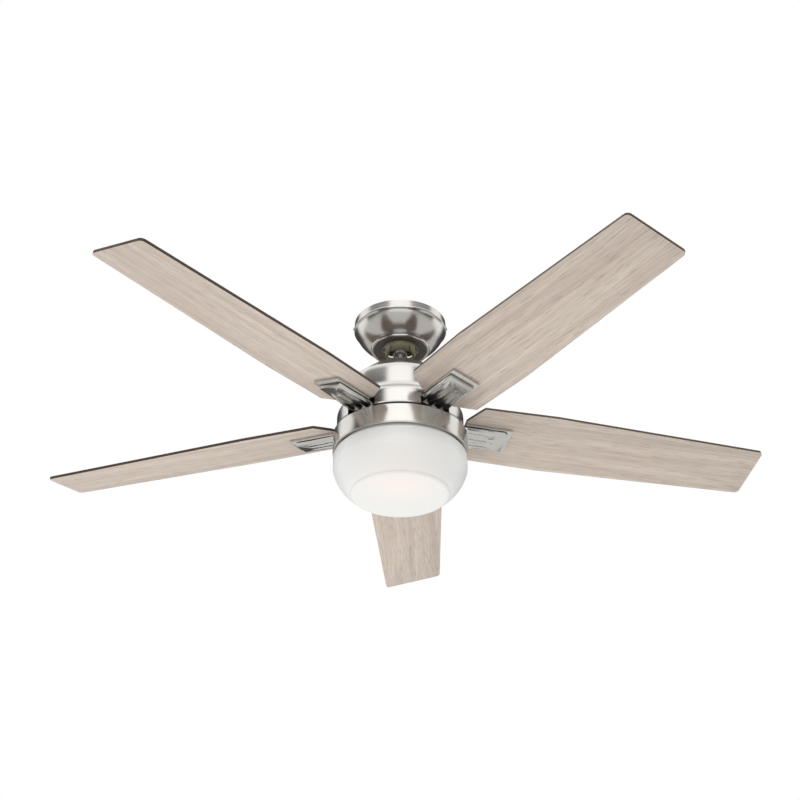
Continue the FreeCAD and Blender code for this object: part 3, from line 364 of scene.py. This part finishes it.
def bowed(start, end, rise, steps=14):
    """Points between two (radius, height) places on a curve that bulges by rise."""
    start, end = Vector(start), Vector(end)
    side = Vector((end.y - start.y, start.x - end.x)).normalized() * -rise
    return [tuple(start.lerp(end, t / steps) + side * 4 * (t / steps) * (1 - t / steps))
            for t in range(1, steps)]


def turned(name, outline, finish, steps=176, closed=True):
    """Sweeps an outline in mm round the axis and gives the shell its finish."""
    pick()
    radius, height = outline[0]
    bpy.ops.mesh.primitive_circle_add(vertices=steps, radius=radius * MM,
                                      location=(0, 0, height * MM))
    shell = bpy.context.object
    shell.name = name
    bpy.ops.object.mode_set(mode="EDIT")
    bpy.ops.mesh.select_all(action="SELECT")
    rest = list(outline[1:]) + ([outline[0]] if closed else [])
    for r, z in rest:
        bpy.ops.mesh.extrude_edges_move(
            TRANSFORM_OT_translate={"value": (0, 0, (z - height) * MM)})
        bpy.ops.transform.resize(value=(r / radius, r / radius, 1),
                                 center_override=(0, 0, z * MM))
        radius, height = r, z
    bpy.ops.mesh.select_all(action="SELECT")
    bpy.ops.mesh.remove_doubles(threshold=0.000004)
    if not closed:
        bpy.ops.mesh.fill_holes(sides=0)
        bpy.ops.mesh.select_all(action="SELECT")
    bpy.ops.mesh.normals_make_consistent(inside=False)
    bpy.ops.object.mode_set(mode="OBJECT")
    bpy.ops.object.transform_apply(location=True, rotation=True, scale=True)
    bpy.ops.object.shade_smooth_by_angle(angle=math.radians(38))
    shell.data.materials.append(finish)
    return shell


def settle(piece, body, slot, *replaced):
    """Fixes a finished piece to a body and hides the CAD nodes that it stands for. The slot is not
    used.
    """
    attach(piece, body)
    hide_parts(*replaced)
    print(f"{piece.name}: {len(piece.data.polygons)} faces")
    return piece


def drop(outline):
    """Lowers an outline that is measured from the hub."""
    return [(r, z + HUB) for r, z in outline]


# %% [markdown]
# ## Canopy, trim and the dish round the ball
# The canopy is a bowl spun over a form, with a bead round its rim where it meets the ceiling. Its
# mouth is closed by a beaded ring, and inside that a painted dish hides the ball joint.

# %% The canopy
rim, depth, mouth, wall = 85, 53, 54, 1.5
canopy = turned("canopy_shell", eased([
    (rim - 1.2, -0.1, 0.5), (rim - 0.4, -13.2, 0.6), (rim, -14.2, 0.8), (rim, -16.2, 0.8),
    (rim - 1.4, -17.2, 0.5), (rim - 2.2, -18.2, 0.8), (rim - 3.2, -19.5, 0.6),
]) + bowed((rim - 3.3, -19.7), (mouth + 0.8, -depth + 0.8), 3.4) + eased([
    (mouth, -depth + 0.1, 0.6), (mouth - 12, -depth + 0.1), (mouth - 12, -depth + wall),
    (mouth - 0.8, -depth + wall, 0.4),
]) + bowed((mouth - 0.6, -depth + wall + 0.2), (rim - 5, -19.7), -3.4) + eased([
    (rim - wall - 1.2, -17.5, 0.6), (rim - wall - 1.2, -0.1)]), brushed_nickel)
settle(canopy, "ceiling_mount", "brushed_nickel", "canopy")

# %% The trim ring and the dish
hole = 34.4
trim = turned("canopy_trim_bead", eased([
    (hole, -depth - 0.1), (mouth - 0.7, -depth - 0.1, 0.8), (mouth + 0.2, -depth - 2.4, 1.4),
    (mouth - 1.6, -depth - 4.9, 1.2), (mouth - 4.2, -depth - 4.9, 0.9),
    (mouth - 5, -depth - 3.6, 0.5), (hole, -depth - 3, 0.4)]), brushed_nickel)
trim.data.materials.append(dark_ring)
for face in trim.data.polygons:
    if face.normal.z < -0.8 and Vector(face.center[:2]).length < (mouth - 4.6) * MM:
        face.material_index = 1
settle(trim, "ceiling_mount", "brushed_nickel", "canopy_trim_ring")

# %% The dish, with a crescent gap on each side
def prism(radius_x, radius_y, low, high):
    """An upright oval prism, used as a cutter."""
    pick()
    bpy.ops.mesh.primitive_cylinder_add(vertices=96, radius=1, depth=1)
    made = bpy.context.object
    made.scale = (radius_x * MM, radius_y * MM, (high - low) * MM)
    made.location = (0, 0, (low + high) / 2 * MM)
    bpy.ops.object.transform_apply(location=True, rotation=True, scale=True)
    return made


def carve(piece, cutter):
    """Cuts one closed mesh out of another and removes the cutter."""
    pick(piece)
    cut = piece.modifiers.new("cut", "BOOLEAN")
    cut.operation, cut.object, cut.solver = "DIFFERENCE", cutter, "EXACT"
    bpy.ops.object.modifier_apply(modifier="cut")
    bpy.data.objects.remove(cutter)


dish_low = -67
dish = turned("ball_dish", eased([
    (33.6, -54.3), (33.6, -56.4, 0.8)]) + bowed((33.2, -57), (23.4, dish_low + 0.3), 2.2)
    + eased([(21.7, dish_low, 0.8), (21.7, dish_low + 1.2, 0.3)])
    + bowed((22.8, dish_low + 1.6), (32, -56), -2.2) + [(32.2, -54.3)],
    finishes["bronze_grey_paint"])
gaps = prism(32.4, 32.4, -75, -50)
carve(gaps, prism(28.0, 60, -80, -45))
carve(dish, gaps)
pick(dish)
bpy.ops.object.shade_smooth_by_angle(angle=math.radians(38))
settle(dish, "ceiling_mount", "bronze_grey_paint", "ball_shroud")

# %% The S-shaped seams of the dish's folded tabs
# The dark line of each seam is painted shade: a fine near-black tube, standing for the shadow in
# the gap between the tabs, that follows a few places on the dish.
# painted shade: near-black colour for the shadow inside each seam's gap
painted_seam_shade = material("shadowed_seam", {"Specular IOR Level": 0.2},
                     speckle(2, "#15130f", "#221f1a", 0.6, 0.8), 0.00005, 0.1)
for side, label in ((-1, "left"), (1, "right")):
    seam = bpy.data.curves.new(f"dish_seam_{label}", "CURVE")
    seam.dimensions, seam.bevel_depth, seam.bevel_resolution = "3D", 0.6 * MM, 2
    seam.use_fill_caps = True
    line = seam.splines.new("NURBS")
    route = [(17, -27, -63), (17.5, -18, -68.8), (19.5, -12, -69.4), (25.5, -3, -68.6),
             (26, 8, -67.6), (26.5, 19, -62.6)]
    line.points.add(len(route) - 1)
    for point, (x, y, z) in zip(line.points, route):
        point.co = (side * x * MM, y * MM, z * MM, 1)
    line.order_u, line.use_endpoint_u = 4, True
    holder = bpy.data.objects.new(f"dish_seam_{label}", seam)
    bpy.context.collection.objects.link(holder)
    pick(holder)
    bpy.ops.object.convert(target="MESH")
    drawn = bpy.context.object
    drawn.data.materials.clear()
    drawn.data.materials.append(painted_seam_shade)
    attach(drawn, "ceiling_mount")
print("two seams")

# %% [markdown]
# ## Cap, housing and band
# The cap covers the coupling and stands still. The housing under it turns with the blades: a cone,
# a wall and a wider skirt with a slot for each iron. The band below holds the glass.

# %% The cap over the coupling
cap_r, cap_top, deck = 55.5, 110.5, 100.5
cap = turned("coupling_cap", drop(eased([
    (13.9, cap_top, 0.5), (cap_r - 4, cap_top - 0.4, 1.0), (cap_r, cap_top - 2.5, 3.4),
    (cap_r, deck + 1.5, 0.4), (cap_r - wall, deck + 1.5, 0.4),
    (cap_r - wall, cap_top - 4, 2.0), (cap_r - 5, cap_top - 2.0, 0.8),
    (13.9, cap_top - wall)])), brushed_nickel)
settle(cap, "hanging_frame", "brushed_nickel", "coupling_cover")

# %% The housing, turned
skirt, foot, brow, eaves = 113, -18, 98.6, 67.5
housing = turned("housing_shell", drop(eased([
    (36, deck, 0.4), (57, deck, 0.6), (58.3, 103.9, 0.7), (59.8, 104.5, 0.8),
    (61.4, 103.3, 1.0), (97.2, 71.6, 7.0), (98.9, 61), (100, 27, 9.0), (109, 17.5, 2.0),
    (113, 13, 6.0), (skirt, 3), (skirt, foot + 3, 1.0), (skirt + 0.9, foot, 0.4),
    (skirt - 0.6, foot, 0.4), (skirt - wall, foot + 3, 1.0), (skirt - wall, 3),
    (111.3, 12.4, 5.0), (108, 16.0, 2.0), (98.4, 25.8, 8.0), (97.2, 61),
    (95.8, 71.0, 6.0), (60.0, 102.2, 0.6), (59, deck - wall, 0.5),
    (36, deck - wall, 0.4)])), brushed_nickel)

# %% Its five slots, cut in one pass
PHASE, FIFTH = 87.64, 72
cutters = []
for index in range(5):
    pick()
    turn = math.radians(PHASE + FIFTH * index)
    bpy.ops.mesh.primitive_cube_add(size=1)
    cutter = bpy.context.object
    cutter.scale = (28 * MM, 60 * MM, 20 * MM)
    cutter.rotation_euler = (0, 0, turn)
    cutter.location = (110 * MM * math.cos(turn), 110 * MM * math.sin(turn), (HUB - 13) * MM)
    bpy.ops.object.transform_apply(location=True, rotation=True, scale=True)
    cutters.append(cutter)
pick(cutters[0])
for cutter in cutters:
    cutter.select_set(True)
bpy.ops.object.join()
cutter = bpy.context.object
pick(housing)
slots = housing.modifiers.new("slots", "BOOLEAN")
slots.operation, slots.object, slots.solver = "DIFFERENCE", cutter, "EXACT"
bpy.ops.object.modifier_apply(modifier="slots")
bpy.data.objects.remove(cutter)
pick(housing)
bpy.ops.object.shade_smooth_by_angle(angle=math.radians(38))
settle(housing, "rotor", "brushed_nickel", "bell_housing")

# %% The band
band_r, band_top, band_foot = 119.5, -24.6, -61.5
fitter = turned("light_band", drop(eased([
    (70, band_top), (band_r, band_top, 1.2), (band_r, band_foot + 2.9, 0.6),
    (band_r - 0.5, band_foot + 2.3, 0.4), (band_r, band_foot + 1.6, 0.4),
    (band_r - 0.2, band_foot, 1.2), (band_r - 4.5, band_foot, 0.4),
    (band_r - 4.5, band_foot + wall, 0.4), (band_r - 1.7, band_foot + 3.2, 1.0),
    (band_r - 1.6, band_top - 2, 0.5), (band_r - 3, band_top - wall, 0.4),
    (70, band_top - wall)])), brushed_nickel)
settle(fitter, "hanging_frame", "brushed_nickel", "fitter_band")

# %% [markdown]
# ## The glass
# Blown glass has one thickness all over and no sharp corner. It starts under its flat base, rises
# over the taper, the straight wall and the neck, and comes back inside to the middle.

# %% The bowl
glass_r, neck, lip, waist, base, disc, thick = 118.5, 108, -62.3, -98, -142.5, 84.5, 3.5
bowl = turned("glass_bowl", drop(
    eased([(0.6, base), (disc - 8, base), (disc, base, 5.0), (disc + 4, base + 4.2, 4.0)])
    + bowed((disc + 4.4, base + 4.7), (glass_r, waist + 5), -4.6)
    + eased([(glass_r, waist + 5, 2.0), (glass_r, lip - 8), (glass_r - 2.4, lip - 2.4, 5.0),
             (neck + 3, lip, 2.4), (neck, lip, 1.4), (neck, lip + 14, 0.8),
             (neck - thick, lip + 14, 0.8), (neck - thick, lip - thick, 2.4),
             (neck + 1, lip - thick, 1.4), (glass_r - thick, lip - 8, 3.0),
             (glass_r - thick, waist, 3.0)])
    + bowed((glass_r - thick - 0.5, waist - 1), (disc + 2.2, base + 7.2), 2.8)
    + eased([(disc - 1.5, base + thick, 4.0), (0.6, base + thick)])), frosted, closed=False)
settle(bowl, "glass", "frosted_glass", "glass_shade")

# %% [markdown]
# ## Blades
# One board is shaped flat along X: a short plane at the root, its far edge widened to the shoulder
# and extruded to the belly and the tip, two rounded tip corners, then its thickness. Each copy is
# tilted about its own length, like the real blade, and turned to its place.

# %% One board
BELLY, TIP, THICK = 277, 685, 5
pick()
bpy.ops.mesh.primitive_plane_add(size=1)
board = bpy.context.object
board.name = "board"
bpy.ops.object.mode_set(mode="EDIT")
bpy.ops.transform.resize(value=(24 * MM, 66 * MM, 1), center_override=(0, 0, 0))
bpy.ops.transform.translate(value=((115.5 + 12) * MM, 0, 0))


def take(piece, wanted):
    """Selects the vertices of a piece that pass a test, and what lies between them."""
    bpy.ops.mesh.select_mode(type="VERT")
    bpy.ops.mesh.select_all(action="DESELECT")
    bpy.ops.object.mode_set(mode="OBJECT")
    for vertex in piece.data.vertices:
        vertex.select = wanted(vertex.co / MM)
    bpy.ops.object.mode_set(mode="EDIT")


take(board, lambda place: place.x > 130)
bpy.ops.transform.resize(value=(1, 69 / 33, 1), center_override=(0, 0, 0))
for ahead, widen in ((BELLY - 139.5, 72 / 69), (TIP - BELLY, 58.5 / 72)):
    bpy.ops.mesh.extrude_edges_move(TRANSFORM_OT_translate={"value": (ahead * MM, 0, 0)})
    bpy.ops.transform.resize(value=(1, widen, 1), center_override=(0, 0, 0))
bpy.ops.mesh.bevel(offset=8 * MM, offset_type="OFFSET", segments=6, affect="VERTICES")
take(board, lambda place: place.x < 145)
bpy.ops.mesh.bevel(offset=2.5 * MM, offset_type="OFFSET", segments=3, affect="VERTICES")
bpy.ops.mesh.select_all(action="SELECT")
bpy.ops.mesh.extrude_region_move(TRANSFORM_OT_translate={"value": (0, 0, THICK * MM)})
bpy.ops.mesh.select_all(action="SELECT")
bpy.ops.mesh.normals_make_consistent(inside=False)
bpy.ops.object.mode_set(mode="OBJECT")
ease = board.modifiers.new("ease", "BEVEL")
ease.width, ease.segments, ease.limit_method = 0.5 * MM, 2, "ANGLE"
bpy.ops.object.modifier_apply(modifier="ease")
for finish in (oak_below, edge_band, oak_above):
    board.data.materials.append(finish)
for face in board.data.polygons:
    face.material_index = 0 if face.normal.z < -0.95 else 2 if face.normal.z > 0.95 else 1
bpy.ops.object.shade_smooth_by_angle(angle=math.radians(30))
print("board", len(board.data.polygons), "faces")

# %% A map along the blade, and five copies
PITCH = 13


def map_along(piece, turn, shift):
    """Adds a map in metres, U along the blade at this turn and V across it."""
    back = Matrix.Rotation(-turn, 3, "Z")
    lay = piece.data.uv_layers.new(name="Along")
    for loop in piece.data.loops:
        flat = back @ piece.data.vertices[loop.vertex_index].co
        lay.data[loop.index].uv = (flat.x + shift, flat.y + flat.z * 0.2 + shift * 0.37)


for index in range(5):
    blade = board.copy()
    blade.data = board.data.copy()
    blade.name = f"oak_blade_{index + 1}"
    bpy.context.collection.objects.link(blade)
    turn = math.radians(PHASE + FIFTH * index)
    map_along(blade, 0, index * 3.1)
    blade.rotation_euler = Euler((math.radians(-PITCH), 0, turn))
    blade.location = (0, 0, HUB * MM)
    pick(blade)
    bpy.ops.object.transform_apply(location=True, rotation=True, scale=True)
    settle(blade, "rotor", "oak_laminate", f"blade_{index + 1}")
bpy.data.objects.remove(board)

# %% [markdown]
# ## Irons and plates
# Their castings are right in the CAD, but their edges are knife sharp. A merged copy of each gets a
# small bevel, which gives the bright lines along the arms, and its own map for the brushing.

# %% Eased copies of the irons and plates
def eased_copy(node, name, width, turn, shift):
    piece = bpy.data.objects.new(name, nodes[node].data.copy())
    bpy.context.collection.objects.link(piece)
    pick(piece)
    bpy.ops.object.mode_set(mode="EDIT")
    bpy.ops.mesh.select_all(action="SELECT")
    bpy.ops.mesh.remove_doubles(threshold=0.00001)
    bpy.ops.mesh.dissolve_limited(angle_limit=math.radians(0.2))
    bpy.ops.object.mode_set(mode="OBJECT")
    soft = piece.modifiers.new("soft", "BEVEL")
    soft.width, soft.segments, soft.limit_method = width * MM, 2, "ANGLE"
    soft.angle_limit = math.radians(60)
    bpy.ops.object.modifier_apply(modifier="soft")
    bpy.ops.object.shade_smooth_by_angle(angle=math.radians(35))
    piece.data.materials.clear()
    piece.data.materials.append(satin_nickel)
    map_along(piece, turn, shift)
    return piece


for index in range(5):
    turn = math.radians(PHASE + FIFTH * index)
    for kind, width in (("iron", 0.5), ("plate", 0.6)):
        node = f"blade_{kind}_{index + 1}"
        piece = eased_copy(node, f"nickel_{kind}_{index + 1}", width, turn, index * 1.7)
        settle(piece, "rotor", "brushed_nickel", node)

# %% [markdown]
# ## Studio
# The object hangs in a white room. Metal shows what stands round it, so the room has pale walls
# with darker gaps between them, as between studio screens. The gaps give the bands their dark
# stripes. The camera sees plain white instead.

# %% Floor
pick()
bpy.ops.mesh.primitive_plane_add(size=40, location=(0, 0, -3.4))
floor = bpy.context.object
floor.name = "studio_floor"
floor.data.materials.append(material("pale_floor", {"Roughness": 0.9,
                            "Base Color": linear("#d2d1cf"), "Emission Strength": 0.1,
                            "Emission Color": linear("#fffdfa")}))
print("floor at", round(floor.data.vertices[0].co.z + floor.location.z, 2), "m")

# %% Dark flag
# A flag is a dark cloth that only reflections see here. It shades the middle of the canopy.
pick()
bpy.ops.mesh.primitive_plane_add(size=1, location=(0, -1.35, -2.5))
flag = bpy.context.object
flag.name = "dark_flag"
flag.scale = (1.5, 1.1, 1)
bpy.ops.object.transform_apply(location=True, rotation=True, scale=True)
flag.data.materials.append(material("black_felt", {"Roughness": 1.0,
                           "Base Color": linear("#3a3733")}))
for ray in ("camera", "diffuse", "transmission", "shadow", "volume_scatter"):
    setattr(flag, f"visible_{ray}", False)
print("flag", [round(side, 2) for side in flag.dimensions], "m")

# %% Room
world = bpy.data.worlds.new("studio_room")
bpy.context.scene.world = world
world.use_nodes = True
tree = world.node_tree
tree.nodes.clear()
toward = add(tree, "ShaderNodeTexCoord").outputs["Generated"]
parts = add(tree, "ShaderNodeSeparateXYZ", None, {"Vector": toward})
away = add(tree, "ShaderNodeMath", {"operation": "MULTIPLY", 1: -1.0}, {0: parts.outputs["Y"]})
aside = add(tree, "ShaderNodeMath", {"operation": "ABSOLUTE"}, {0: parts.outputs["X"]})
bearing = add(tree, "ShaderNodeMath", {"operation": "ARCTAN2"},
              {0: aside.outputs[0], 1: away.outputs[0]})
around = span(tree, bearing.outputs[0], 0.0, 1.0, 0.0, math.pi)
screens = add(tree, "ShaderNodeValToRGB", None, {"Fac": around})
# each screen edge as a bearing in degrees from the front, and its light
stops = [(0, 1.95), (24, 1.9), (33, 0.08), (60, 0.03), (82, 0.08), (92, 1.4), (124, 1.4),
         (136, 0.08), (180, 0.04)]
ramp = screens.color_ramp
while len(ramp.elements) < len(stops):
    ramp.elements.new(1.0)
for stop, (degrees, light) in zip(ramp.elements, stops):
    stop.position = degrees / 180
    stop.color = (light, light * 0.99, light * 0.975, 1)
low = span(tree, parts.outputs["Z"], 1.0, 0.0, -0.3, -0.05)
high = span(tree, parts.outputs["Z"], 0.0, 1.0, 0.6, 0.82)
round_it = add(tree, "ShaderNodeMix", {"data_type": "RGBA", 7: (1.2, 1.2, 1.2, 1)},
               {0: low, 6: screens.outputs["Color"]})
over_it = add(tree, "ShaderNodeMix", {"data_type": "RGBA", 7: (1.5, 1.5, 1.47, 1)},
              {0: high, 6: round_it.outputs[2]})
seen = add(tree, "ShaderNodeLightPath").outputs["Is Camera Ray"]
plain = add(tree, "ShaderNodeMix", {"data_type": "RGBA", 7: (1, 1, 1, 1)},
            {0: seen, 6: over_it.outputs[2]})
back = add(tree, "ShaderNodeBackground", {"Strength": 1.0}, {"Color": plain.outputs[2]})
add(tree, "ShaderNodeOutputWorld", None, {"Surface": back.outputs["Background"]})
print("room light at", [degrees for degrees, _ in stops], "degrees")

# %% Lights
def softbox(name, place, aim, size, power):
    """A square area light that points at a place."""
    lamp = bpy.data.lights.new(name, "AREA")
    lamp.size, lamp.energy = size, power
    holder = bpy.data.objects.new(name, lamp)
    holder.location = place
    holder.rotation_euler = (Vector(aim) - Vector(place)).to_track_quat("-Z", "Y").to_euler()
    holder.visible_glossy = False
    holder.visible_camera = False
    bpy.context.collection.objects.link(holder)
    return holder


HUB_PLACE = (0, 0, -0.2)   # every light points close to the hub
for name, place, size, power in (("front_low", (0.0, -2.2, -2.3), 2.2, 6),
                                 ("left_low", (-2.4, 0.4, -2.2), 1.8, 22),
                                 ("right_low", (2.4, -0.2, -2.2), 1.8, 4),
                                 ("back_low", (-0.6, 2.4, -2.2), 1.8, 30)):
    lamp = softbox(name, place, HUB_PLACE, size, power)
    print(lamp.name, power, "W")

# %% Camera
lens = bpy.data.cameras.new("view")
lens.sensor_width, lens.lens = 36, 71.15
lens.shift_x = -0.00025
camera = bpy.data.objects.new("view", lens)
camera.location = (0, -2.4534, -1.6091)
camera.rotation_euler = (math.radians(120.543), 0, 0)
bpy.context.collection.objects.link(camera)
bpy.context.scene.camera = camera
bpy.context.scene.view_settings.view_transform = "Standard"
print("camera at", tuple(round(x, 3) for x in camera.location))
